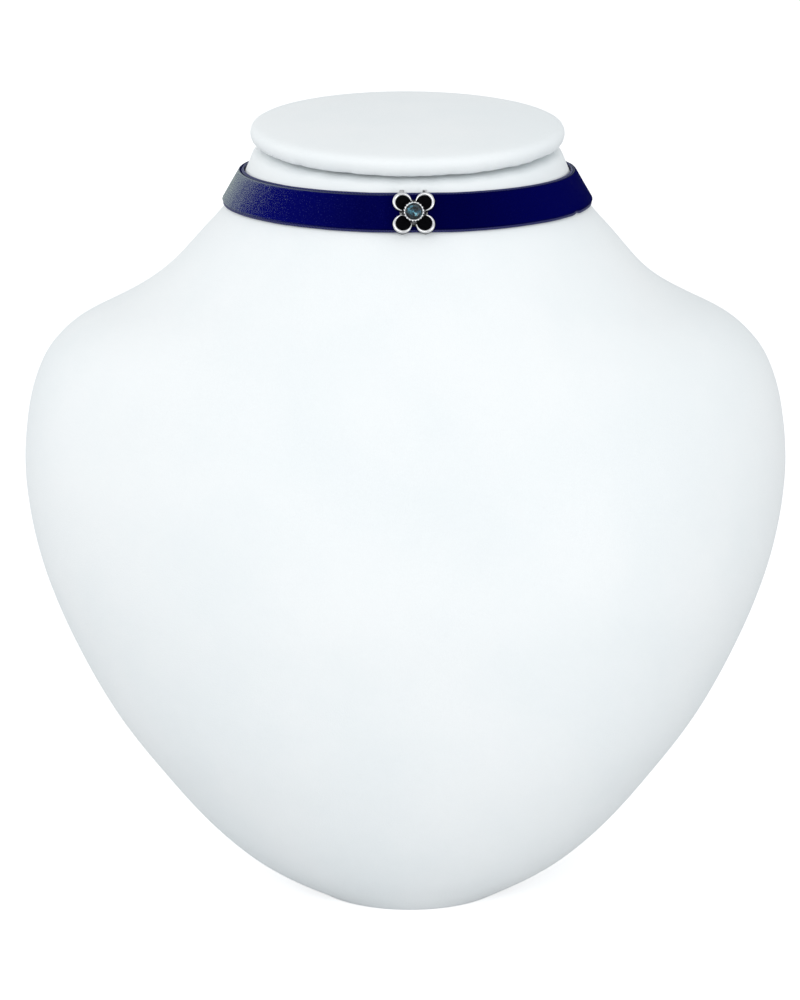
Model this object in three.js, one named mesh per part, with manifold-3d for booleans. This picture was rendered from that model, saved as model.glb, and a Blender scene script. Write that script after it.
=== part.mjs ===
// A velvet ribbon choker with a four-petal flower slider, on the plain leatherette neck bust that wears it.
// Millimetres, +Z up, the front faces -Y. The neck's axis runs through x = 0, y = 0 until the whole
// model is centred over its own footprint at the end.

import * as THREE from "three";
import { ConvexGeometry } from "three/addons/geometries/ConvexGeometry.js";
import { mergeVertices } from "three/addons/utils/BufferGeometryUtils.js";
import Module from "manifold-3d";

const wasm = await Module();
wasm.setup();

// Bust
const BUST_HEIGHT = 200; // floor to the middle of the neck's top
const BUST_HALF_WIDTH = 104.5; // at the widest line of the shoulders
const CHEST_REACH = 71; // neck axis to the most forward point of the chest
const BACK_REACH = 50; // neck axis to the flat of the back
const NECK_LEAN = 0.14; // rise of the neck's top from front to back, mm for each mm

// Padded disc on top of the neck
const CAP_THICKNESS = 5.5;
const CAP_OVERHANG = 1.4; // past the neck's top, all round
const CAP_CROWN = 1.6; // how far the padding swells in the middle
const CAP_GAP = 0.3; // between the disc and the neck

// Velvet ribbon
const RIBBON_WIDTH = 10.6;
const RIBBON_HEIGHT_SHARE = 0.942; // where its middle line runs, as a share of the bust's height
const BACKING_THICKNESS = 0.45; // the woven ground, bare along both edges
const PILE_THICKNESS = 0.75; // the velvet on top of the ground
const SELVEDGE_WIDTH = 0.65; // each bare edge
const RIBBON_GAP = 0.3; // between the ribbon and the neck
const RIBBON_END_GAP = 9; // between the two ends, at the clasp

// Flower slider
const PETAL_RADIUS = 2.5;
const PETAL_OFFSET = 2.95; // of a petal's centre from the flower's, sideways and upward
const PETAL_FLOOR = 0.5; // thickness of the closed petal floor
const WEB_RADIUS = 3.5; // the round plate that joins the petals behind the bezel
const WEB_THICKNESS = 0.4;
const RIM_WIDTH = 1.0; // the raised rim at its widest, on the petal's outer side
const RIM_HEIGHT = 0.95; // of the rim above the back of the petal
const RIM_SWEEP_DEGREES = 262; // how far the rim runs round the petal
const RIM_END_SHARE = 0.34; // the rim's width at its two ends, as a share of its widest
const RIM_SWELL_POWER = 0.8; // how fast it swells away from them: lower is faster
const RIM_LOW_SHARE = 0.35; // how much of its rise above the floor is left where it is thinnest
const FLOOR_INSET_SHARE = 0.3; // the floor ends under the rim, by this share of the rim's width
const BEZEL_RADIUS = 2.68; // over the scallops
const BEZEL_HEIGHT = 2.0; // above the back of the petals
const BEZEL_SCALLOPS = 20;
const SCALLOP_DEPTH = 0.16;
const GIRDLE_BELOW_LIP = 0.35; // the crystal's girdle under the cup's top
const SEAT_PAST_LIP = 1; // how far the cut for the crystal runs out of the cup
const LOOP_WIDTH = 1.2; // each of the two loops that hold the ribbon behind the flower
const LOOP_THICKNESS = 0.34;
const LOOP_OFFSET = 2.95; // of a loop's middle from the flower's, sideways, which hides it behind the petals
const SLIDE_CLEARANCE = 0.12; // between the loops and the ribbon
const FLOWER_DROP = 0.5; // how far the petals hang below the ribbon's middle line, over the loops' lower sides

// Crystal
const STONE_RADIUS = 2.1;
const STONE_CROWN = 0.75; // girdle to table
const STONE_PAVILION = 1.15; // girdle to the point underneath
const STONE_GIRDLE = 0.12;
const TABLE_SHARE = 0.56; // the table's radius, as a share of the stone's
const KITE_SHARE = 0.58; // the height of the kites' side corners, as a share of the crown's
const STONE_CLEARANCE = 0.1; // between the stone and its seat

// Clasp at the back: two folded crimps and the bar that joins them
const CRIMP_LENGTH = 5;
const CRIMP_GRIP = 4; // how much of the ribbon each crimp holds
const CRIMP_WALL = 0.5;
const CLASP_CLEARANCE = 0.25; // round the ribbon's end, and to the neck
const CLASP_BAR_WIDTH = 3;
const CLASP_BAR_THICKNESS = 1.2;

// How far the ribbon stands off the neck so that the loops and the crimps fit behind it
const LOOP_LIFT = LOOP_THICKNESS + SLIDE_CLEARANCE;
const CRIMP_LIFT = CRIMP_WALL + CLASP_CLEARANCE;
const LIFT_RUN = 9; // length over which the ribbon comes back to the neck

// Fineness
const AROUND = 56;
const RINGS_PER_ROW = 2;
const RIBBON_STEPS = 84;
const RIM_STEPS = 22;
const RIM_SIDES = 8;
const PETAL_SIDES = 24;
const WEB_SIDES = 40;
const POINTS_PER_SCALLOP = 4;

const FRONT = -Math.PI / 2; // the angle round the neck that faces -Y
const BACK = Math.PI / 2;

// The bust from the floor to the neck's top. Heights are shares of BUST_HEIGHT, widths of BUST_HALF_WIDTH,
// fronts of CHEST_REACH, backs and the widest lines of BACK_REACH, leans of NECK_LEAN. The powers say how
// square the front and the back half of the section are: 2 is an ellipse.
const SECTION_COLUMNS = ["height", "width", "front", "widest", "back", "frontPower", "backPower", "lean"];
const SECTIONS = [
  [0.0, 0.25, 0.6, -0.3, 0.72, 2.0, 2.6, 0],
  [0.023, 0.357, 0.662, -0.26, 0.78, 2.0, 2.7, 0],
  [0.05, 0.442, 0.728, -0.21, 0.83, 2.05, 2.8, 0],
  [0.099, 0.551, 0.82, -0.13, 0.89, 2.1, 3.0, 0],
  [0.156, 0.65, 0.895, -0.04, 0.945, 2.15, 3.3, 0],
  [0.23, 0.766, 0.96, 0.06, 0.985, 2.2, 3.7, 0],
  [0.311, 0.859, 0.993, 0.14, 1.0, 2.2, 4.0, 0],
  [0.397, 0.935, 1.0, 0.2, 1.0, 2.2, 4.0, 0],
  [0.476, 0.98, 0.976, 0.24, 1.0, 2.2, 4.0, 0],
  [0.561, 1.0, 0.93, 0.26, 1.0, 2.2, 4.0, 0],
  [0.641, 0.986, 0.87, 0.26, 0.99, 2.15, 3.8, 0],
  [0.702, 0.949, 0.815, 0.24, 0.975, 2.1, 3.4, 0],
  [0.736, 0.901, 0.78, 0.22, 0.96, 2.05, 3.1, 0],
  [0.762, 0.841, 0.753, 0.2, 0.95, 2.0, 2.8, 0],
  [0.787, 0.748, 0.727, 0.17, 0.935, 2.0, 2.5, 0],
  [0.812, 0.668, 0.703, 0.13, 0.915, 2.0, 2.3, 0],
  [0.842, 0.599, 0.675, 0.08, 0.89, 2.0, 2.1, 0.02],
  [0.882, 0.531, 0.637, 0.03, 0.848, 2.0, 2.0, 0.1],
  [0.915, 0.473, 0.606, 0.0, 0.805, 2.0, 2.0, 0.2],
  [0.94, 0.439, 0.577, 0.0, 0.775, 2.0, 2.0, 0.35],
  [0.967, 0.412, 0.553, 0.0, 0.75, 2.0, 2.0, 0.6],
  [1.0, 0.388, 0.523, 0.0, 0.715, 2.0, 2.0, 1.0],
];

// The disc from the middle of its underside to the middle of its top: radii are shares of its half-width
// and half-depth, heights shares of CAP_THICKNESS, crowns shares of CAP_CROWN.
const CAP_COLUMNS = ["radius", "height", "crown"];
const CAP_PROFILE = [
  [0.93, 0.0, 0],
  [0.965, 0.03, 0],
  [0.987, 0.16, 0],
  [0.998, 0.36, 0],
  [1.0, 0.55, 0],
  [0.993, 0.76, 0],
  [0.975, 0.91, 0],
  [0.945, 0.985, 0.02],
  [0.88, 1.0, 0.2],
  [0.7, 1.0, 0.55],
  [0.4, 1.0, 0.87],
];

// The cup's wall from the petals' back to its lip: insets are shares of BEZEL_RADIUS, heights of
// BEZEL_HEIGHT, scallops of SCALLOP_DEPTH.
const CUP_COLUMNS = ["inset", "height", "scallop"];
const CUP_PROFILE = [
  [0.06, 0, 0],
  [0.06, 0.45, 0],
  [0, 0.7, 1],
  [0, 0.92, 1],
  [0.082, 1, 0.8],
];

const leatherette = new THREE.MeshStandardMaterial({ color: 0xeef4f6, roughness: 0.55, metalness: 0 });
const velvet = new THREE.MeshStandardMaterial({ color: 0x04044a, roughness: 1, metalness: 0 });
const silver = new THREE.MeshStandardMaterial({ color: 0xc9cacd, roughness: 0.28, metalness: 1 });
const crystal = new THREE.MeshStandardMaterial({ color: 0x2f6f8c, roughness: 0.05, metalness: 0 });

const named = (columns, row) => Object.fromEntries(columns.map((name, i) => [name, row[i]]));
const signedPower = (value, power) => Math.sign(value) * Math.abs(value) ** power;
const smoothStep = (x) => THREE.MathUtils.smoothstep(x, 0, 1);

// A value between the rows of SECTIONS, along a cubic that never overshoots them.
function sectionValue(column, share) {
  const k = SECTION_COLUMNS.indexOf(column);
  const x = SECTIONS.map((row) => row[0]);
  const y = SECTIONS.map((row) => row[k]);
  const last = x.length - 2;
  const i = Math.min(last, Math.max(0, x.findLastIndex((value) => value <= share)));
  const slope = (j) => (y[j + 1] - y[j]) / (x[j + 1] - x[j]);
  const tangent = (j) => {
    if (j === 0) return slope(0);
    if (j === x.length - 1) return slope(last);
    const [before, after] = [slope(j - 1), slope(j)];
    return before * after <= 0 ? 0 : (2 * before * after) / (before + after);
  };
  const width = x[i + 1] - x[i];
  const s = (share - x[i]) / width;
  const startWeight = (1 + 2 * s) * (1 - s) ** 2;
  const endWeight = s * s * (3 - 2 * s);
  const startPull = s * (1 - s) ** 2 * width * tangent(i);
  const endPull = s * s * (s - 1) * width * tangent(i + 1);
  return startWeight * y[i] + endWeight * y[i + 1] + startPull + endPull;
}

// The bust's skin at a height and an angle round the neck's axis.
function skinPoint(height, angle) {
  const share = height / BUST_HEIGHT;
  const at = (column) => sectionValue(column, share);
  const isFront = Math.sin(angle) < 0;
  const widest = at("widest") * BACK_REACH;
  const depth = isFront ? widest + at("front") * CHEST_REACH : at("back") * BACK_REACH - widest;
  const power = 2 / (isFront ? at("frontPower") : at("backPower"));
  const x = at("width") * BUST_HALF_WIDTH * signedPower(Math.cos(angle), power);
  const y = widest + depth * signedPower(Math.sin(angle), power);
  return new THREE.Vector3(x, y, height + at("lean") * NECK_LEAN * y);
}

// A frame on the skin: the point, the direction round the neck, up along the skin, and straight out of it.
function skinFrame(height, angle) {
  const step = 1e-3;
  const point = skinPoint(height, angle);
  const along = skinPoint(height, angle + step).sub(skinPoint(height, angle - step)).normalize();
  const up = skinPoint(height + step, angle).sub(skinPoint(height - step, angle)).normalize();
  const out = new THREE.Vector3().crossVectors(along, up).normalize();
  return { point, along, up: new THREE.Vector3().crossVectors(out, along).normalize(), out };
}

// Closes a stack of rings, each a list of as many points, into one body with a fan over each end.
function ringStack(rings) {
  const count = rings[0].length;
  const centre = (ring) => ring.reduce((sum, p) => sum.add(p), new THREE.Vector3()).divideScalar(count);
  const points = [...rings.flat(), centre(rings[0]), centre(rings.at(-1))];
  const index = [];
  const lastRing = (rings.length - 1) * count;
  for (let i = 0; i < count; i++) {
    const next = (i + 1) % count;
    for (let r = 0; r < rings.length - 1; r++) {
      const [a, b] = [r * count + i, r * count + next];
      index.push(a, b, b + count, a, b + count, a + count);
    }
    index.push(points.length - 2, next, i, points.length - 1, lastRing + i, lastRing + next);
  }
  return indexed(points, index);
}

function indexed(points, index) {
  const geometry = new THREE.BufferGeometry();
  const places = points.flatMap((p) => [p.x, p.y, p.z]);
  geometry.setAttribute("position", new THREE.Float32BufferAttribute(places, 3));
  geometry.setIndex(index);
  return geometry;
}

// Booleans: a closed geometry as a solid, and a solid as a geometry.
function solid(geometry) {
  const bare = geometry.clone();
  bare.deleteAttribute("normal");
  bare.deleteAttribute("uv");
  const merged = mergeVertices(bare, 1e-5);
  const vertProperties = Float32Array.from(merged.attributes.position.array);
  const triVerts = Uint32Array.from(merged.index.array);
  return new wasm.Manifold(new wasm.Mesh({ numProp: 3, vertProperties, triVerts }));
}

function geometryOf(manifold) {
  const mesh = manifold.getMesh();
  const geometry = new THREE.BufferGeometry();
  geometry.setAttribute("position", new THREE.BufferAttribute(new Float32Array(mesh.vertProperties), 3));
  geometry.setIndex(new THREE.BufferAttribute(new Uint32Array(mesh.triVerts), 1));
  return geometry;
}

const joined = (geometries) => geometries.map(solid).reduce((sum, part) => sum.add(part));

function box(x, y, z) {
  const sizes = [x, y, z].map(([low, high]) => high - low);
  const middles = [x, y, z].map(([low, high]) => (low + high) / 2);
  return new THREE.BoxGeometry(...sizes).translate(...middles);
}

const ringAngles = (count) => Array.from({ length: count }, (_, i) => (i / count) * 2 * Math.PI);

function bustGeometry() {
  const heights = SECTIONS.slice(0, -1).flatMap((row, i) => {
    const step = (SECTIONS[i + 1][0] - row[0]) / RINGS_PER_ROW;
    return Array.from({ length: RINGS_PER_ROW }, (_, k) => (row[0] + k * step) * BUST_HEIGHT);
  });
  heights.push(BUST_HEIGHT);
  return ringStack(heights.map((height) => ringAngles(AROUND).map((angle) => skinPoint(height, angle))));
}

// The padded disc is the neck's top, widened by the overhang and swept through its rounded profile.
function capGeometry() {
  const rim = ringAngles(AROUND).map((angle) => skinPoint(BUST_HEIGHT, angle));
  const widest = Math.max(...rim.map((p) => p.x));
  const grow = 1 + CAP_OVERHANG / widest;
  const tilt = new THREE.Matrix4().makeRotationX(Math.atan(NECK_LEAN));
  const rings = CAP_PROFILE.map((row) => {
    const { radius, height, crown } = named(CAP_COLUMNS, row);
    const lift = CAP_GAP + height * CAP_THICKNESS + crown * CAP_CROWN;
    const raise = new THREE.Vector3(0, 0, lift).applyMatrix4(tilt);
    return rim.map((p) => {
      const level = BUST_HEIGHT + NECK_LEAN * p.y * grow * radius;
      return new THREE.Vector3(p.x * grow * radius, p.y * grow * radius, level).add(raise);
    });
  });
  return ringStack(rings);
}

const RIBBON_MIDDLE = RIBBON_HEIGHT_SHARE * BUST_HEIGHT;
const RIBBON_THICKNESS = BACKING_THICKNESS + PILE_THICKNESS;

// The angle round the neck at a distance sideways of the front or back middle line.
function angleBeside(middle, sideways) {
  const halfWidth = sectionValue("width", RIBBON_HEIGHT_SHARE) * BUST_HALF_WIDTH;
  return middle + Math.asin(sideways / halfWidth) * (middle === FRONT ? 1 : -1);
}

// How far the skin rises, under the ribbon's width, above a plane laid on it at the ribbon's middle line.
function skinRise(angle) {
  const { point, up, out } = skinFrame(RIBBON_MIDDLE, angle);
  const rises = [-1, -0.5, 0.5, 1].map((share) => {
    const height = RIBBON_MIDDLE + share * (RIBBON_WIDTH / 2) * up.z;
    return skinPoint(height, angle).sub(point).dot(out);
  });
  return Math.max(0, ...rises);
}

// How far what lies against the neck, and the ribbon's back, stand off it at an angle.
const bedLevel = (angle) => RIBBON_GAP + skinRise(angle);

function ribbonLevel(angle) {
  const { point } = skinFrame(RIBBON_MIDDLE, angle);
  const [holdHalf, holdLift] = point.y < 0
    ? [LOOP_OFFSET + LOOP_WIDTH / 2, LOOP_LIFT]
    : [RIBBON_END_GAP / 2 + CRIMP_GRIP, CRIMP_LIFT];
  const away = (Math.abs(point.x) - holdHalf) / LIFT_RUN;
  return bedLevel(angle) + holdLift * (1 - smoothStep(away));
}

// A point of the ribbon, which is straight across its width: across is measured up the skin from its
// middle line, out from its back.
function ribbonPoint(angle, across, out) {
  const frame = skinFrame(RIBBON_MIDDLE, angle);
  return frame.point.addScaledVector(frame.up, across).addScaledVector(frame.out, ribbonLevel(angle) + out);
}

function ribbonGeometry() {
  const half = RIBBON_WIDTH / 2;
  const pileHalf = half - SELVEDGE_WIDTH;
  const outline = [
    [half, 0], [half, BACKING_THICKNESS], [pileHalf, BACKING_THICKNESS], [pileHalf, RIBBON_THICKNESS],
    [0, RIBBON_THICKNESS], [-pileHalf, RIBBON_THICKNESS], [-pileHalf, BACKING_THICKNESS],
    [-half, BACKING_THICKNESS], [-half, 0], [0, 0],
  ];
  const start = angleBeside(BACK, -RIBBON_END_GAP / 2) - 2 * Math.PI;
  const end = angleBeside(BACK, RIBBON_END_GAP / 2);
  const sections = Array.from({ length: RIBBON_STEPS + 1 }, (_, i) => {
    const angle = THREE.MathUtils.lerp(start, end, i / RIBBON_STEPS);
    return outline.map(([across, out]) => ribbonPoint(angle, across, out));
  });
  return ringStack(sections);
}

// A raised rim that runs round a petal and thins away to nothing at both ends, as a half-round bar.
function rimGeometry(middle, radius, openTowards) {
  const sweep = THREE.MathUtils.degToRad(RIM_SWEEP_DEGREES);
  const sections = Array.from({ length: RIM_STEPS + 1 }, (_, i) => {
    const share = i / RIM_STEPS;
    const angle = openTowards + Math.PI + (0.5 - share) * sweep;
    const swell = RIM_END_SHARE + (1 - RIM_END_SHARE) * Math.sin(Math.PI * share) ** RIM_SWELL_POWER;
    const halfWidth = (RIM_WIDTH / 2) * swell;
    const rise = (RIM_HEIGHT - PETAL_FLOOR) * (RIM_LOW_SHARE + (1 - RIM_LOW_SHARE) * swell);
    const top = PETAL_FLOOR + rise;
    return Array.from({ length: RIM_SIDES }, (_, k) => {
      const turn = ((2 * k + 1) / RIM_SIDES) * Math.PI;
      const away = radius - halfWidth + halfWidth * Math.cos(turn);
      const out = top / 2 + (top / 2) * Math.sin(turn);
      return new THREE.Vector3(middle.x + away * Math.cos(angle), middle.y + away * Math.sin(angle), out);
    });
  });
  return ringStack(sections);
}

// A turned form whose radius swells and dips round its axis: each profile point is radius, height, scallop.
function scallopedGeometry(profile, lobes) {
  const around = lobes * POINTS_PER_SCALLOP;
  return ringStack(profile.map(([radius, height, depth]) => ringAngles(around).map((angle) => {
    const r = radius - depth * (0.5 + 0.5 * Math.cos(lobes * angle));
    return new THREE.Vector3(r * Math.cos(angle), r * Math.sin(angle), height);
  })));
}

function disc(radius, bottom, top, middle, sides) {
  return new THREE.CylinderGeometry(radius, radius, top - bottom, sides)
    .rotateX(Math.PI / 2).translate(middle.x, middle.y, (top + bottom) / 2);
}

// The girdle's height above the back of the petals: the crystal sits in the top of its cup.
const GIRDLE_LEVEL = BEZEL_HEIGHT - GIRDLE_BELOW_LIP;

// The flower lies in its own plane: x sideways, y up the ribbon, z out of the petals' flat back at 0.
function flowerSolid() {
  const petals = [[-1, 1], [1, 1], [-1, -1], [1, -1]].flatMap(([x, y]) => {
    const centre = new THREE.Vector2(x, y).multiplyScalar(PETAL_OFFSET);
    return [
      disc(PETAL_RADIUS - RIM_WIDTH * FLOOR_INSET_SHARE, 0, PETAL_FLOOR, centre, PETAL_SIDES),
      rimGeometry(centre, PETAL_RADIUS, Math.atan2(-centre.y, -centre.x)),
    ];
  });
  const wall = CUP_PROFILE.map((row) => {
    const { inset, height, scallop } = named(CUP_COLUMNS, row);
    return [BEZEL_RADIUS * (1 - inset), BEZEL_HEIGHT * height, SCALLOP_DEPTH * scallop];
  });
  const cup = scallopedGeometry(wall, BEZEL_SCALLOPS);
  const seatRadius = STONE_RADIUS + STONE_CLEARANCE;
  const pavilionDepth = STONE_PAVILION + STONE_CLEARANCE;
  const seat = new THREE.LatheGeometry([
    new THREE.Vector2(0, GIRDLE_LEVEL - pavilionDepth),
    new THREE.Vector2(seatRadius, GIRDLE_LEVEL - STONE_CLEARANCE),
    new THREE.Vector2(seatRadius, BEZEL_HEIGHT + SEAT_PAST_LIP),
    new THREE.Vector2(0, BEZEL_HEIGHT + SEAT_PAST_LIP),
  ], PETAL_SIDES).rotateX(Math.PI / 2);
  const web = disc(WEB_RADIUS, 0, WEB_THICKNESS, new THREE.Vector2(0, 0), WEB_SIDES);
  return joined([...petals, web, cup, ...loopGeometries()]).subtract(solid(seat));
}

// Two closed loops round the ribbon: a bar behind it, a side past each edge, a bar let into the petals.
function loopGeometries() {
  const inside = RIBBON_WIDTH / 2 + SLIDE_CLEARANCE;
  const outside = inside + LOOP_THICKNESS;
  const back = -(RIBBON_THICKNESS + 2 * SLIDE_CLEARANCE + LOOP_THICKNESS);
  return [-1, 1].flatMap((side) => {
    const across = [side * LOOP_OFFSET - LOOP_WIDTH / 2, side * LOOP_OFFSET + LOOP_WIDTH / 2];
    const bars = [
      box(across, [-outside, outside], [back, back + LOOP_THICKNESS]),
      box(across, [-outside, -inside], [back, LOOP_THICKNESS]),
      box(across, [inside, outside], [back, LOOP_THICKNESS]),
      box(across, [-outside, outside], [0, LOOP_THICKNESS]),
    ];
    return bars.map((bar) => bar.translate(0, FLOWER_DROP, 0));
  });
}

// A round brilliant: an eight-sided table, kites and girdle facets round it, eight mains below.
function stoneGeometry() {
  const ring = (count, radius, height, turn) => Array.from({ length: count }, (_, i) => {
    const angle = ((i + turn) / count) * 2 * Math.PI;
    return new THREE.Vector3(radius * Math.cos(angle), radius * Math.sin(angle), height);
  });
  const kite = (1 + TABLE_SHARE) / 2;
  return new ConvexGeometry([
    ...ring(8, STONE_RADIUS * TABLE_SHARE, STONE_CROWN, 0.5),
    ...ring(8, STONE_RADIUS * kite, STONE_CROWN * KITE_SHARE, 0),
    ...ring(16, STONE_RADIUS, STONE_GIRDLE / 2, 0),
    ...ring(16, STONE_RADIUS, -STONE_GIRDLE / 2, 0),
    new THREE.Vector3(0, 0, -STONE_PAVILION),
  ]);
}

// Sets a piece that was made flat on the front: its x runs along the ribbon, its y up it, its z out.
function placeOnFront(mesh, away) {
  const { point, along, up, out } = skinFrame(RIBBON_MIDDLE, FRONT);
  point.addScaledVector(up, -FLOWER_DROP).addScaledVector(out, away);
  mesh.applyMatrix4(new THREE.Matrix4().makeBasis(along, up, out).setPosition(point));
  return mesh;
}

// The clasp is one plain piece: at each end a crimp folded round the ribbon, and a bar between them.
function claspSolid() {
  const neckAngle = (sideways) => angleBeside(BACK, sideways);
  const slotHalf = RIBBON_WIDTH / 2 + CLASP_CLEARANCE;
  const slotDepth = RIBBON_THICKNESS + 2 * CLASP_CLEARANCE;
  const half = slotHalf + CRIMP_WALL;
  const reach = CRIMP_LENGTH / 2;
  const crimpMiddle = RIBBON_END_GAP / 2 + CRIMP_GRIP - reach;
  const wallLeft = CRIMP_LENGTH - CRIMP_GRIP - CLASP_CLEARANCE;
  const crimps = [-1, 1].map((side) => {
    const frame = skinFrame(RIBBON_MIDDLE, neckAngle(side * crimpMiddle));
    const matrix = new THREE.Matrix4().makeBasis(frame.along, frame.up, frame.out)
      .setPosition(frame.point.addScaledVector(frame.out, bedLevel(neckAngle(side * crimpMiddle))));
    const outer = box([-reach, reach], [-half, half], [0, slotDepth + 2 * CRIMP_WALL]);
    const openSide = side > 0 ? [-reach - 1, reach - wallLeft] : [-reach + wallLeft, reach + 1];
    const slot = box(openSide, [-slotHalf, slotHalf], [CRIMP_WALL, CRIMP_WALL + slotDepth]);
    return solid(outer.applyMatrix4(matrix)).subtract(solid(slot.applyMatrix4(matrix)));
  });
  const middle = skinFrame(RIBBON_MIDDLE, BACK);
  const barHalf = crimpMiddle - reach + wallLeft / 2;
  const barOut = bedLevel(BACK) + CRIMP_WALL + (slotDepth - CLASP_BAR_THICKNESS) / 2;
  const bar = box([-barHalf, barHalf], [-CLASP_BAR_WIDTH / 2, CLASP_BAR_WIDTH / 2], [0, CLASP_BAR_THICKNESS]);
  bar.applyMatrix4(new THREE.Matrix4().makeBasis(middle.along, middle.up, middle.out)
    .setPosition(middle.point.addScaledVector(middle.out, barOut)));
  return crimps[0].add(crimps[1]).add(solid(bar));
}

function mesh(name, geometry, material) {
  const made = new THREE.Mesh(geometry, material);
  made.name = name;
  return made;
}

const FLOWER_OUT = bedLevel(FRONT) + LOOP_LIFT + RIBBON_THICKNESS + SLIDE_CLEARANCE;

const model = new THREE.Group();
model.add(mesh("neck_bust", bustGeometry(), leatherette));
model.add(mesh("neck_cap", capGeometry(), leatherette));
model.add(mesh("velvet_ribbon", ribbonGeometry(), velvet));
model.add(placeOnFront(mesh("flower_charm", geometryOf(flowerSolid()), silver), FLOWER_OUT));
model.add(placeOnFront(mesh("stone", stoneGeometry(), crystal), FLOWER_OUT + GIRDLE_LEVEL));
model.add(mesh("clasp", geometryOf(claspSolid()), silver));

// Centre the model over its own footprint, standing on z = 0.
const footprint = new THREE.Box3().setFromObject(model);
model.position.set(0, -(footprint.min.y + footprint.max.y) / 2, 0);

export default model;
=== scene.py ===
"""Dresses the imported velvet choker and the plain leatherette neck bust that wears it.

Sizes in the classes are millimetres. Everything is made in them and brought into the frame's
metres as the last step of each piece.
"""

import logging
import math
from collections.abc import Callable, Iterable, Sequence
from dataclasses import dataclass, field
from enum import Enum

import bmesh
import bpy
from mathutils import Matrix, Vector, noise


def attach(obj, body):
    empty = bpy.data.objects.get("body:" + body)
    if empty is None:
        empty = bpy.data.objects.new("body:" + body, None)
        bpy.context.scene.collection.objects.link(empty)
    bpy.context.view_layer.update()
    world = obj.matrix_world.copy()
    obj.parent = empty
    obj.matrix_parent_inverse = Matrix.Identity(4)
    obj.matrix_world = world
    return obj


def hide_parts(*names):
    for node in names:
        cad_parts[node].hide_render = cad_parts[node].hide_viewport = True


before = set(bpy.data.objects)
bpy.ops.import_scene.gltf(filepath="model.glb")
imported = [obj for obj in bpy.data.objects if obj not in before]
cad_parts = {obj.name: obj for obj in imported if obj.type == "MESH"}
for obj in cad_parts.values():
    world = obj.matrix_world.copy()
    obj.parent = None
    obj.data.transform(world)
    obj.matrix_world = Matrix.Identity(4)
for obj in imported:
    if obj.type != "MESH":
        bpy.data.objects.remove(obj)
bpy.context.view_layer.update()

LOG = logging.getLogger("choker")
MM = 0.001
FULL_TURN = 2 * math.pi
FRONT = -math.pi / 2
BACK = math.pi / 2
ROOT = "root"
RIBBON_CHART = "ribbon"
POLISH_AND_RIM_SHADE = "polish"
PAINTED_FACET_LIGHT = "painted_facet_light"

Colour = tuple[float, float, float, float]
Form = bmesh.types.BMesh
Material = bpy.types.Material
Socket = bpy.types.NodeSocket


class Slot(Enum):
    """The record's material slots."""

    LEATHERETTE = "leatherette"
    VELVET = "velvet"
    SILVER = "silver"
    CRYSTAL = "crystal"
    CLASP_METAL = "clasp_metal"


def smooth_step(value: float) -> float:
    """A soft rise from 0 to 1 over the same range."""
    t = min(1.0, max(0.0, value))
    return t * t * (3 - 2 * t)


def mix(low: float, high: float, share: float) -> float:
    """The value at a share of the way from low to high."""
    return low + (high - low) * share


def bell(distance: float, width: float) -> float:
    """A rounded bump of height 1 that has faded away at about twice its width."""
    return math.exp(-((distance / width) ** 2))


# Shader wiring


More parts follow.
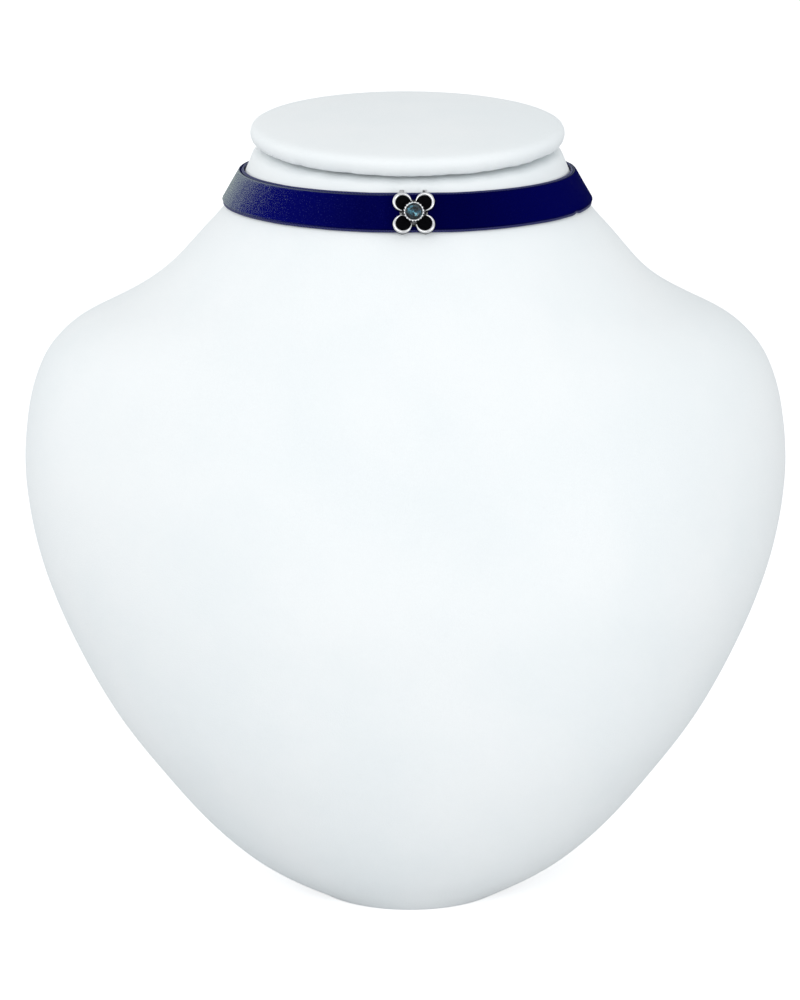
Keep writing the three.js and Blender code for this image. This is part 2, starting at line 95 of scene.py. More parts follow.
class Graph:
    """Adds and joins the nodes of one material or node group."""

    def __init__(self, tree: bpy.types.NodeTree) -> None:
        """Takes the node tree to work in."""
        self.tree = tree

    def add(self, kind: str, inputs: dict | None = None, **settings: object) -> bpy.types.Node:
        """Adds a node.

        Args:
            kind: The node's type name.
            inputs: A value or another node's output for each input, by name or number.
            settings: Values for the node's own properties.

        Returns:
            The new node.
        """
        node = self.tree.nodes.new(kind)
        for key, value in settings.items():
            setattr(node, key, value)
        for key, value in (inputs or {}).items():
            if isinstance(value, Socket):
                self.tree.links.new(value, node.inputs[key])
            else:
                node.inputs[key].default_value = value
        return node

    def math(self, operation: str, *values: object) -> Socket:
        """One Math node's result."""
        return self.add("ShaderNodeMath", dict(enumerate(values)), operation=operation).outputs[0]

    def vector(self, operation: str, *values: object) -> Socket:
        """One Vector Math node's vector."""
        return self.add("ShaderNodeVectorMath", dict(enumerate(values)), operation=operation).outputs[0]

    def scaled(self, vector: object, factor: float) -> Socket:
        """A vector times a plain number."""
        node = self.add("ShaderNodeVectorMath", {0: vector}, operation="SCALE")
        node.inputs["Scale"].default_value = factor
        return node.outputs[0]

    def blend(self, share: object, low: object, high: object) -> Socket:
        """A colour between two others."""
        return self.add("ShaderNodeMix", {0: share, 6: low, 7: high}, data_type="RGBA").outputs[2]

    def remap(
        self, value: object, low: float, high: float, to_low: float = 0.0, to_high: float = 1.0
    ) -> Socket:
        """A value moved smoothly from one range to another, and held at its ends."""
        inputs = {0: value, 1: low, 2: high, 3: to_low, 4: to_high}
        return self.add("ShaderNodeMapRange", inputs, interpolation_type="SMOOTHSTEP").outputs[0]

    def noise(self, where: object, scale: object, detail: float = 2.0, rough: float = 0.5) -> Socket:
        """Soft cloudy noise from 0 to 1."""
        inputs = {"Vector": where, "Scale": scale, "Detail": detail, "Roughness": rough}
        return self.add("ShaderNodeTexNoise", inputs).outputs[0]

    def bump(self, height: object, strength: float, distance: float, normal: object = None) -> Socket:
        """A normal that follows a height, whose full range stands for a distance in metres."""
        inputs = {"Height": height, "Strength": strength, "Distance": distance}
        if normal is not None:
            inputs["Normal"] = normal
        return self.add("ShaderNodeBump", inputs).outputs[0]

    def group(self, tree: bpy.types.NodeTree, where: object, size: float) -> Socket:
        """The result of one of the shared effects, at a size in millimetres."""
        return self.add("ShaderNodeGroup", {"Vector": where, "Size": size}, node_tree=tree).outputs[0]

    def attribute(self, name: str) -> Socket:
        """A number that the mesh carries."""
        return self.add("ShaderNodeAttribute", attribute_name=name).outputs["Fac"]

    def part(self, vector: object, number: int) -> Socket:
        """One of a vector's three numbers."""
        return self.add("ShaderNodeSeparateXYZ", {0: vector}).outputs[number]

    def ribbon_place(self) -> Socket:
        """Where a point of the ribbon is, in millimetres along it and round its section."""
        return self.add("ShaderNodeUVMap", uv_map=RIBBON_CHART).outputs[0]

    def place_mm(self) -> Socket:
        """Where a point of the piece is, in millimetres."""
        return self.scaled(self.add("ShaderNodeTexCoord").outputs["Object"], 1 / MM)


class Effects:
    """The node groups that several materials share."""

    def __init__(self) -> None:
        """Builds each group once."""
        self.mottle = self._group("soft_mottle", self._mottle, 10.0, "Share")
        self.pebble = self._group("pebble_grain", self._pebble, 0.8, "Height")
        self.hairlines = self._group("hairline_scratches", self._hairlines, 1.0, "Height")
        self.weave = self._group("fine_weave", self._weave, 0.3, "Height")

    @staticmethod
    def _group(name: str, fill: Callable, size: float, result: str) -> bpy.types.NodeTree:
        """Makes one group.

        Args:
            name: The group's name.
            fill: Adds the group's nodes, from a graph, the place and the size, and returns its result.
            size: The size in millimetres that the group starts with.
            result: The name of the number that the group puts out.

        Returns:
            The group's node tree.
        """
        tree = bpy.data.node_groups.new(name, "ShaderNodeTree")
        tree.interface.new_socket(name="Vector", in_out="INPUT", socket_type="NodeSocketVector")
        sized = tree.interface.new_socket(name="Size", in_out="INPUT", socket_type="NodeSocketFloat")
        sized.default_value = size
        tree.interface.new_socket(name=result, in_out="OUTPUT", socket_type="NodeSocketFloat")
        graph = Graph(tree)
        given = graph.add("NodeGroupInput").outputs
        graph.add("NodeGroupOutput", {result: fill(graph, given["Vector"], given["Size"])})
        return tree

    @staticmethod
    def _mottle(graph: Graph, where: object, size: object) -> Socket:
        """Slow cloudy patches, with smaller ones inside them."""
        scale = graph.math("DIVIDE", 1.0, size)
        return graph.remap(graph.noise(where, scale, 4.0, 0.55), 0.3, 0.7)

    @staticmethod
    def _pebble(graph: Graph, where: object, size: object) -> Socket:
        """Rounded pebbles with pressed lines between them, uneven as embossed leather is."""
        scale = graph.math("DIVIDE", 1.0, size)
        bend = graph.add("ShaderNodeTexNoise", {"Vector": where, "Scale": scale, "Detail": 2.0})
        wander = graph.vector("SUBTRACT", bend.outputs["Color"], (0.5, 0.5, 0.5))
        cells = graph.add(
            "ShaderNodeTexVoronoi",
            {"Vector": graph.vector("ADD", where, graph.scaled(wander, 0.7)), "Scale": scale},
            feature="DISTANCE_TO_EDGE",
        )
        rounded = graph.remap(cells.outputs["Distance"], 0.0, 0.28)
        fine = graph.noise(where, graph.math("MULTIPLY", scale, 4.0), 2.0)
        return graph.math("MULTIPLY_ADD", fine, 0.25, rounded)

    @staticmethod
    def _hairlines(graph: Graph, where: object, size: object) -> Socket:
        """Fine scratches that run two ways across a rubbed surface."""
        scale = graph.math("DIVIDE", 1.0, size)
        lines = []
        for turn in (0.35, 1.9):
            drawn_out = {"Vector": where, "Rotation": (0.2, turn, 0.0), "Scale": (1.0, 14.0, 14.0)}
            turned = graph.add("ShaderNodeMapping", drawn_out).outputs[0]
            lines.append(graph.remap(graph.noise(turned, scale, 3.0, 0.6), 0.5, 0.72))
        return graph.math("MAXIMUM", *lines)

    @staticmethod
    def _weave(graph: Graph, where: object, size: object) -> Socket:
        """Threads that cross over and under each other along the first two coordinates."""
        scale = graph.math("DIVIDE", math.pi, size)
        along, across = (
            graph.math("SINE", graph.math("MULTIPLY", graph.part(where, number), scale)) for number in (0, 1)
        )
        return graph.math(
            "MULTIPLY_ADD", graph.math("MULTIPLY", along, across), 0.5, graph.math("ABSOLUTE", along)
        )


def new_material(name: str) -> tuple[Material, Graph]:
    """An empty node material.

    Args:
        name: The material's name.

    Returns:
        The material, and a graph that works in it.
    """
    material = bpy.data.materials.new(name)
    material.use_nodes = True
    material.node_tree.nodes.clear()
    return material, Graph(material.node_tree)


def close_material(graph: Graph, inputs: dict) -> None:
    """Joins the last node, a Principled BSDF with the given inputs, to the material's output."""
    shader = graph.add("ShaderNodeBsdfPrincipled", inputs)
    graph.add("ShaderNodeOutputMaterial", {"Surface": shader.outputs[0]})


# Finishes


@dataclass(frozen=True)
class Leatherette:
    """Off-white embossed leatherette, faintly uneven in tone, with a fine pebble grain whose pressed lines
    are painted darker as shade.
    """

    light: Colour = (0.87, 0.892, 0.9, 1.0)
    shade: Colour = (0.83, 0.865, 0.878, 1.0)
    patch_size: float = 45.0
    pebble_size: float = 0.7
    grain_depth: float = 0.00004
    roughness_low: float = 0.44
    roughness_high: float = 0.56

    def material(self, name: str, effects: Effects) -> Material:
        """The finish as a material."""
        made, graph = new_material(name)
        place = graph.place_mm()
        patches = graph.group(effects.mottle, place, self.patch_size)
        grain = graph.group(effects.pebble, place, self.pebble_size)
        # Painted shade: the pressed lines between the pebbles are painted darker, on top of the random tone
        # patches.
        pressed = graph.remap(grain, 0.0, 0.5, 0.75, 1.0)
        tone = graph.math("MULTIPLY", patches, pressed)
        close_material(graph, {
            "Base Color": graph.blend(tone, self.shade, self.light),
            "Roughness": graph.remap(grain, 0.0, 1.0, self.roughness_high, self.roughness_low),
            "Specular IOR Level": 0.35,
            "Normal": graph.bump(grain, 0.35, self.grain_depth),
        })
        return made


@dataclass(frozen=True)
class Velvet:
    """Midnight-blue velvet whose pile leans one way in its bump, with painted light in its colour: a grey
    painted sheen where it turns round the side of the neck towards the left lamps, paler painted tuft ends
    on that side, and a painted highlight along its upper edge.
    """

    deep: Colour = (0.0001, 0.0002, 0.036, 1.0)
    bright: Colour = (0.001, 0.0018, 0.125, 1.0)
    painted_tip_colour: Colour = (0.05, 0.056, 0.2, 1.0)
    painted_grey_sheen: Colour = (0.45, 0.52, 0.46, 1.0)
    sheen: Colour = (0.62, 0.7, 0.86, 1.0)
    sheen_weight: float = 0.03
    sheen_roughness: float = 0.2
    nap: float = 0.25
    tuft_size: float = 0.34
    crush_size: float = 5.0
    pile_depth: float = 0.00028
    grey_sheen_starts: float = 0.905
    grey_sheen_full: float = 1.055

    def material(self, name: str, effects: Effects) -> Material:
        """The finish as a material."""
        made, graph = new_material(name)
        place = graph.ribbon_place()
        tufts = graph.noise(place, 1 / self.tuft_size, 3.0, 0.6)
        crushed = graph.group(effects.mottle, place, self.crush_size)
        height = graph.math("MULTIPLY_ADD", crushed, 0.3, tufts)
        geometry = graph.add("ShaderNodeNewGeometry").outputs["Normal"]
        along = graph.vector("CROSS_PRODUCT", geometry, (0.0, 0.0, 1.0))
        leaning = graph.vector("NORMALIZE", graph.vector("ADD", geometry, graph.scaled(along, self.nap)))
        pile = graph.bump(height, 0.8, self.pile_depth, leaning)
        # Painted sheen: a speckled grey is painted into the colour where the ribbon goes round the side of
        # the neck, and fades towards the back.
        turned = graph.math("ADD", graph.part(pile, 1), 1.0)
        speckled = graph.math("MULTIPLY_ADD", graph.math("SUBTRACT", tufts, 0.5), 0.5, turned)
        painted_grey_sheen = graph.math(
            "MULTIPLY",
            graph.remap(speckled, self.grey_sheen_starts, self.grey_sheen_full),
            graph.remap(turned, 1.2, 1.7, 1.0, 0.0),
        )
        # Painted light: the side of the neck facing the left lamps is painted lighter and speckled by the
        # tufts; the other side is painted a little lighter, and darker again at its far end.
        side = graph.part(geometry, 0)
        painted_left_light = graph.remap(graph.math("MULTIPLY", side, -1.0), -0.05, 0.85)
        left_light_speckle = graph.math("MULTIPLY", graph.remap(tufts, 0.2, 0.6, 0.6, 1.0), painted_left_light)
        # Painted highlight: the upward-facing upper edge of the pile is painted grey as well, on the lit
        # side.
        painted_top_highlight = graph.remap(graph.part(geometry, 2), 0.5, 0.9, 0.0, 0.7)
        lit = graph.math("MULTIPLY", graph.math("MAXIMUM", painted_grey_sheen, painted_top_highlight), left_light_speckle)
        # smooth: painted light on the side away from the lamps, fading out again at its far end.
        smooth = graph.math(
            "MULTIPLY", graph.remap(side, 0.1, 0.7, 0.0, 0.32), graph.remap(side, 0.75, 1.0, 1.0, 0.0)
        )
        painted_side_light = graph.math("ADD", painted_left_light, smooth)
        # The share towards the brighter navy is a little random tuft tone and mostly painted side light.
        share = graph.math("MULTIPLY_ADD", graph.remap(tufts, 0.4, 0.7), 0.18, painted_side_light)
        # Painted highlights: the ends of the tufts are painted paler on the side facing the left lamps.
        painted_tip_mask = graph.math("MULTIPLY", graph.remap(tufts, 0.59, 0.74), graph.remap(painted_left_light, 0.0, 0.6))
        body = graph.blend(painted_tip_mask, graph.blend(share, self.deep, self.bright), self.painted_tip_colour)
        close_material(graph, {
            "Base Color": graph.blend(lit, body, self.painted_grey_sheen),
            "Roughness": graph.remap(tufts, 0.3, 0.7, 1.0, 0.85),
            "Specular IOR Level": 0.01,
            "Sheen Weight": self.sheen_weight,
            "Sheen Roughness": self.sheen_roughness,
            "Sheen Tint": self.sheen,
            "Normal": pile,
        })
        return made


@dataclass(frozen=True)
class WovenGround:
    """The ribbon's woven ground, bare along its edges and back: ribbed, duller and greyer than the pile."""

    thread: Colour = (0.05, 0.055, 0.2, 1.0)
    gap: Colour = (0.002, 0.0025, 0.035, 1.0)
    sheen: Colour = (0.62, 0.68, 0.82, 1.0)
    rib_size: float = 0.42
    depth: float = 0.00006

    def material(self, name: str, effects: Effects) -> Material:
        """The finish as a material."""
        made, graph = new_material(name)
        place = graph.ribbon_place()
        ribs = graph.group(effects.weave, place, self.rib_size)
        fuzz = graph.noise(place, 6.0, 3.0, 0.6)
        height = graph.math("MULTIPLY_ADD", fuzz, 0.4, ribs)
        tone = graph.math("MULTIPLY", graph.remap(ribs, 0.1, 1.0), graph.remap(fuzz, 0.3, 0.7, 0.6, 1.0))
        close_material(graph, {
            "Base Color": graph.blend(tone, self.gap, self.thread),
            "Roughness": graph.remap(fuzz, 0.3, 0.7, 0.75, 0.5),
            "Specular IOR Level": 0.2,
            "Sheen Weight": 0.3,
            "Sheen Roughness": 0.35,
            "Sheen Tint": self.sheen,
            "Normal": graph.bump(height, 0.7, self.depth),
        })
        return made


@dataclass(frozen=True)
class AntiqueSilver:
    """Cast silver, rubbed bright on what stands proud and left black in the recesses, with painted shade on
    the flanks of the petal rims.
    """

    bright: Colour = (0.74, 0.74, 0.75, 1.0)
    black: Colour = (0.0015, 0.0015, 0.002, 1.0)
    scratch: Colour = (0.012, 0.012, 0.014, 1.0)
    patch_size: float = 0.7
    scratch_size: float = 0.9
    scratch_depth: float = 0.00001
    unevenness: float = 0.22

    def material(self, name: str, effects: Effects) -> Material:
        """The finish as a material."""
        made, graph = new_material(name)
        place = graph.place_mm()
        patches = graph.group(effects.mottle, place, self.patch_size)
        hair = graph.group(effects.hairlines, place, self.scratch_size)
        # The polish number is the antique rubbing, and on the flanks of the petal rims painted shade as
        # well.
        polish = graph.math("SUBTRACT", graph.attribute(POLISH_AND_RIM_SHADE), self.unevenness / 2)
        uneven = graph.math("MULTIPLY_ADD", patches, self.unevenness, polish)
        rubbed = graph.remap(uneven, 0.28, 0.62)
        recess = graph.blend(graph.math("MULTIPLY", hair, 0.35), self.black, self.scratch)
        dull = graph.math("MULTIPLY_ADD", hair, 0.1, graph.remap(rubbed, 0.0, 1.0, 0.65, 0.19))
        close_material(graph, {
            "Base Color": graph.blend(rubbed, recess, self.bright),
            "Metallic": graph.remap(rubbed, 0.05, 0.6),
            "Roughness": dull,
            "Specular IOR Level": 0.01,
            "Normal": graph.bump(hair, 0.25, self.scratch_depth),
        })
        return made


@dataclass(frozen=True)
class SatinSteel:
    """Satin steel with fine rubbing marks and a slightly duller patch here and there."""

    bright: Colour = (0.6, 0.6, 0.61, 1.0)
    dull: Colour = (0.4, 0.4, 0.42, 1.0)
    patch_size: float = 3.0
    scratch_size: float = 1.6
    scratch_depth: float = 0.00001

    def material(self, name: str, effects: Effects) -> Material:
        """The finish as a material."""
        made, graph = new_material(name)
        place = graph.place_mm()
        patches = graph.group(effects.mottle, place, self.patch_size)
        hair = graph.group(effects.hairlines, place, self.scratch_size)
        close_material(graph, {
            "Base Color": graph.blend(patches, self.dull, self.bright),
            "Metallic": 1.0,
            "Roughness": graph.math("MULTIPLY_ADD", hair, 0.2, graph.remap(patches, 0.0, 1.0, 0.42, 0.28)),
            "Normal": graph.bump(hair, 0.4, self.scratch_depth),
        })
        return made


@dataclass(frozen=True)
class CrystalGlass:
    """Clear teal glass over a mirror foil whose facets carry painted reflections, one tone to a facet, the
    lightest as painted glints.
    """

    glass: Colour = (0.36, 0.7, 0.81, 1.0)
    foil_dark: Colour = (0.0005, 0.01, 0.026, 1.0)
    foil_light: Colour = (0.42, 0.8, 0.92, 1.0)
    painted_glint: Colour = (0.8, 0.93, 0.97, 1.0)
    cloudiness: float = 0.97
    tone_wander: float = 0.1

    def crown(self) -> Material:
        """The clear facets that show."""
        made, graph = new_material("crystal_glass")
        veil = graph.noise(graph.place_mm(), 3.0, 2.0)
        cloudy = (*(self.cloudiness * value for value in self.glass[:3]), 1.0)
        close_material(graph, {
            "Base Color": graph.blend(veil, self.glass, cloudy),
            "Roughness": graph.remap(veil, 0.3, 0.7, 0.0, 0.02),
            "IOR": 1.52,
            "Specular IOR Level": 0.1,
            "Transmission Weight": 1.0,
        })
        return made

    def foil(self) -> Material:
        """The foil facets underneath, painted with reflected light and shade one facet at a time."""
        made, graph = new_material("crystal_foil")
        veil = graph.noise(graph.place_mm(), 2.0, 2.0)
        wander = graph.math("SUBTRACT", veil, 0.5)
        tone = graph.math("MULTIPLY_ADD", wander, self.tone_wander, graph.attribute(PAINTED_FACET_LIGHT))
        # Painted reflections: each facet's painted light number sets it between dark and light foil, and the
        # highest ones are painted near-white glints.
        painted_reflection = graph.blend(tone, self.foil_dark, self.foil_light)
        close_material(graph, {
            "Base Color": graph.blend(graph.remap(tone, 0.8, 0.95), painted_reflection, self.painted_glint),
            "Metallic": 1.0,
            "Roughness": graph.remap(veil, 0.3, 0.7, 0.04, 0.1),
        })
        return made


# Mesh helpers


def placed(name: str, data: bpy.types.ID) -> bpy.types.Object:
    """A new object of some data, linked to the scene."""
    made = bpy.data.objects.new(name, data)
    bpy.context.collection.objects.link(made)
    return made


def eased(form: Form, edges: list[bmesh.types.BMEdge], width: float) -> None:
    """Rounds some edges of a form over a width in millimetres."""
    bmesh.ops.bevel(
        form,
        geom=edges,
        offset=width,
        offset_type="OFFSET",
        segments=2,
        profile=0.5,
        affect="EDGES",
        material=-1,
        clamp_overlap=True,
    )


def polar(point: Vector) -> tuple[float, float]:
    """A point's distance from the Z axis and its angle round it."""
    return math.hypot(point.x, point.y), math.atan2(point.y, point.x)


def spun(
    profile: Sequence[tuple[float, float]], steps: int, turn: float = FULL_TURN, ring: bool = False
) -> Form:
    """Turns a profile round the Z axis.

    Args:
        profile: Radius and height of each point, in millimetres.
        steps: How many steps the turn takes.
        turn: The angle in radians.
        ring: Whether the profile's last point joins its first.

    Returns:
        The turned form, with its doubles merged and its faces outward.
    """
    form = bmesh.new()
    points = [form.verts.new((radius, 0.0, height)) for radius, height in profile]
    edges = [form.edges.new(pair) for pair in zip(points, points[1:])]
    if ring:
        edges.append(form.edges.new((points[-1], points[0])))
    bmesh.ops.spin(
        form,
        geom=points + edges,
        cent=(0, 0, 0),
        axis=(0, 0, 1),
        angle=turn,
        steps=steps,
        use_merge=turn == FULL_TURN,
    )
    bmesh.ops.remove_doubles(form, verts=form.verts[:], dist=1e-4)
    close_holes(form)
    return form


def close_holes(form: Form) -> None:
    """Fills what is open at the ends of a form and turns its faces outward."""
    open_edges = [edge for edge in form.edges if edge.is_boundary]
    if open_edges:
        bmesh.ops.holes_fill(form, edges=open_edges, sides=0)
    bmesh.ops.recalc_face_normals(form, faces=form.faces[:])


def reshape(form: Form, move: Callable[[Vector], Vector]) -> Form:
    """Moves each point of a form and hands the form back."""
    for vert in form.verts:
        vert.co = move(vert.co)
    return form


def marked(form: Form, layer: str, value: Callable[[Vector], float]) -> Form:
    """Gives each point of a form a number, worked out from its place."""
    store = form.verts.layers.float.get(layer) or form.verts.layers.float.new(layer)
    for vert in form.verts:
        vert[store] = value(vert.co)
    return form


def gathered(forms: Iterable[Form]) -> Form:
    """All the forms as one, each freed once it has been taken in."""
    whole = bmesh.new()
    for form in forms:
        carrier = bpy.data.meshes.new("carrier")
        form.to_mesh(carrier)
        form.free()
        whole.from_mesh(carrier)
        bpy.data.meshes.remove(carrier)
    return whole


def copied_node(name: str, quads: bool = True) -> Form:
    """A CAD node's mesh as a form of its own, in millimetres.

    Args:
        name: The node.
        quads: Whether pairs of its triangles are joined again.

    Returns:
        The form, with its doubles merged.
    """
    form = bmesh.new()
    form.from_mesh(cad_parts[name].data)
    bmesh.ops.scale(form, vec=(1 / MM,) * 3, verts=form.verts[:])
    bmesh.ops.remove_doubles(form, verts=form.verts[:], dist=1e-3)
    if quads:
        bmesh.ops.join_triangles(
            form, faces=form.faces[:], angle_face_threshold=0.7, angle_shape_threshold=3.1
        )
    bmesh.ops.recalc_face_normals(form, faces=form.faces[:])
    return form


@dataclass(frozen=True)
class Finish:
    """How a piece's mesh is finished once its form is made."""

    slot: Slot
    levels: int = 0
    sharp_degrees: float = 180.0
    flat: bool = False

    def piece(self, name: str, form: Form, materials: Sequence[Material]) -> bpy.types.Object:
        """Makes a form a piece of the object.

        Args:
            name: The piece's name.
            form: Its form in millimetres, which is freed.
            materials: Its materials, by the faces' material numbers.

        Returns:
            The piece, riding on the one body.
        """
        bmesh.ops.scale(form, vec=(MM,) * 3, verts=form.verts[:])
        mesh = bpy.data.meshes.new(name)
        form.to_mesh(mesh)
        form.free()
        for material in materials:
            mesh.materials.append(material)
        mesh.polygons.foreach_set("use_smooth", [not self.flat] * len(mesh.polygons))
        if self.sharp_degrees < 180 and not self.flat:
            mesh.set_sharp_from_angle(angle=math.radians(self.sharp_degrees))
        made = placed(name, mesh)
        if self.levels:
            rounding = made.modifiers.new("rounding", "SUBSURF")
            rounding.levels = rounding.render_levels = self.levels
        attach(made, ROOT)
        LOG.info("%s: %d faces before rounding", name, len(mesh.polygons))
        return made


# The neck's skin, which the ribbon, the flower and the disc lie on


@dataclass(frozen=True)
class Station:
    """A place on the neck: a point, the way round it, up it and straight out of it."""

    point: Vector
    along: Vector
    up: Vector
    out: Vector

    def matrix(self, away: float) -> Matrix:
        """Brings a form made flat, with x along, y up and z out, to a distance off the skin."""
        turned = Matrix((self.along, self.up, self.out)).transposed().to_4x4()
        return Matrix.Translation(self.point + self.out * away) @ turned


@dataclass(frozen=True)
class NeckSkin:
    """The neck as the part's source shapes it: half-ellipses between a few named heights."""

    bust_height: float = 200.0
    half_width: float = 104.5
    chest_reach: float = 71.0
    back_reach: float = 50.0
    lean: float = 0.14
    ribbon_share: float = 0.942
    heights: tuple[float, ...] = (0.882, 0.915, 0.94, 0.967, 1.0)
    widths: tuple[float, ...] = (0.531, 0.473, 0.439, 0.412, 0.388)
    fronts: tuple[float, ...] = (0.637, 0.606, 0.577, 0.553, 0.523)
    backs: tuple[float, ...] = (0.848, 0.805, 0.775, 0.75, 0.715)
    leans: tuple[float, ...] = (0.1, 0.2, 0.35, 0.6, 1.0)
    axis: float = 10.5

    @property
    def ribbon_middle(self) -> float:
        """The height of the ribbon's middle line on the neck's axis."""
        return self.ribbon_share * self.bust_height

    def between(self, values: tuple[float, ...], share: float) -> float:
        """A value between the named heights, on a cubic that never overshoots them."""
        x = self.heights
        last = len(x) - 2
        i = min(last, max(0, sum(1 for known in x if known <= share) - 1))

        def slope(j: int) -> float:
            """The rise from one named height to the next."""
            return (values[j + 1] - values[j]) / (x[j + 1] - x[j])

        def tangent(j: int) -> float:
            """The slope at a named height."""
            if j == 0:
                return slope(0)
            if j == len(x) - 1:
                return slope(last)
            before, after = slope(j - 1), slope(j)
            return 0.0 if before * after <= 0 else 2 * before * after / (before + after)

        width = x[i + 1] - x[i]
        s = (share - x[i]) / width
        held = (1 + 2 * s) * (1 - s) ** 2 * values[i] + s * s * (3 - 2 * s) * values[i + 1]
        pulled = s * (1 - s) ** 2 * tangent(i) + s * s * (s - 1) * tangent(i + 1)
        return held + width * pulled

    def point(self, height: float, angle: float) -> Vector:
        """The skin at a height on the axis and an angle round it, before the axis is moved back."""
        share = height / self.bust_height
        reach = self.between(self.fronts, share) * self.chest_reach
        if math.sin(angle) > 0:
            reach = self.between(self.backs, share) * self.back_reach
        x = self.between(self.widths, share) * self.half_width * math.cos(angle)
        y = reach * math.sin(angle)
        return Vector((x, y, height + self.between(self.leans, share) * self.lean * y))

    def in_frame(self, point: Vector) -> Vector:
        """A point of the skin, in the frame's millimetres."""
        return point + Vector((0.0, self.axis, 0.0))

    def station(self, height: float, angle: float) -> Station:
        """The place on the skin at a height and an angle, with its three directions."""
        step = 1e-3
        along = (self.point(height, angle + step) - self.point(height, angle - step)).normalized()
        rising = (self.point(height + step, angle) - self.point(height - step, angle)).normalized()
        out = along.cross(rising).normalized()
        return Station(self.in_frame(self.point(height, angle)), along, out.cross(along).normalized(), out)

    def beside(self, middle: float, sideways: float) -> float:
        """The angle at a distance sideways of the front or back middle line."""
        reach = self.between(self.widths, self.ribbon_share) * self.half_width
        return middle + math.asin(sideways / reach) * (1 if middle == FRONT else -1)

    def bed(self, angle: float, half_width: float, gap: float) -> float:
        """How far the back of a flat band that lies round the neck stands off its middle line."""
        place = self.station(self.ribbon_middle, angle)
        rises = [0.0]
        for share in (-1.0, -0.5, 0.5, 1.0):
            height = self.ribbon_middle + share * half_width * place.up.z
            reached = self.in_frame(self.point(height, angle))
            rises.append((reached - place.point).dot(place.out))
        return gap + max(rises)


# Sub-assemblies


@dataclass
class NeckBust:
    """The bust's body: one smooth leatherette-covered form with a lapped seam down its back."""

    skin: NeckSkin
    base_bevel: float = 1.3
    seam_half: float = 0.7
    seam_depth: float = 0.45
    seam_bottom: float = 6.0
    seam_cuts: tuple[float, ...] = (-2.4, -1.0, 1.0, 2.4)
    fold_place: tuple[float, float, float] = (66.0, -2.0, 160.0)
    fold_reach: tuple[float, float, float] = (8.0, 26.0, 12.0)
    fold_push: tuple[float, float, float] = (0.45, 0.0, 0.9)

    def _seam(self, form: Form) -> None:
        """Presses a narrow seam into the middle of the back, up to the disc."""
        for side in self.seam_cuts:
            behind = [face for face in form.faces if face.calc_center_median().y > self.skin.axis]
            geometry = behind + [e for f in behind for e in f.edges] + [v for f in behind for v in f.verts]
            bmesh.ops.bisect_plane(
                form,
                geom=list(dict.fromkeys(geometry)),
                dist=1e-4,
                plane_co=(side * self.seam_half, 0, 0),
                plane_no=(1, 0, 0),
            )
        for vert in form.verts:
            behind_axis = vert.co.y > self.skin.axis
            if behind_axis and abs(vert.co.x) < self.seam_half * 0.5 and vert.co.z > self.seam_bottom:
                vert.co.y -= self.seam_depth

    def _fold(self, point: Vector) -> Vector:
        """Presses the soft fold where the neck runs into the shoulder on one side."""
        gaps = [(p - q) / r for p, q, r in zip(point, self.fold_place, self.fold_reach)]
        return point - Vector(self.fold_push) * bell(math.hypot(*gaps), 1.0)

    def build(self, leather: Material) -> bpy.types.Object:
        """Builds the body, which stands for its CAD node."""
        form = copied_node("neck_bust")
        base = [
            edge for edge in form.edges
            if all(abs(v.co.z) < 1e-3 for v in edge.verts) and edge.calc_face_angle(0) > 0.5
        ]
        eased(form, base, self.base_bevel)
        self._seam(form)
        reshape(form, self._fold)
        made = Finish(Slot.LEATHERETTE, levels=2).piece("bust_body", form, [leather])
        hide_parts("neck_bust")
        return made


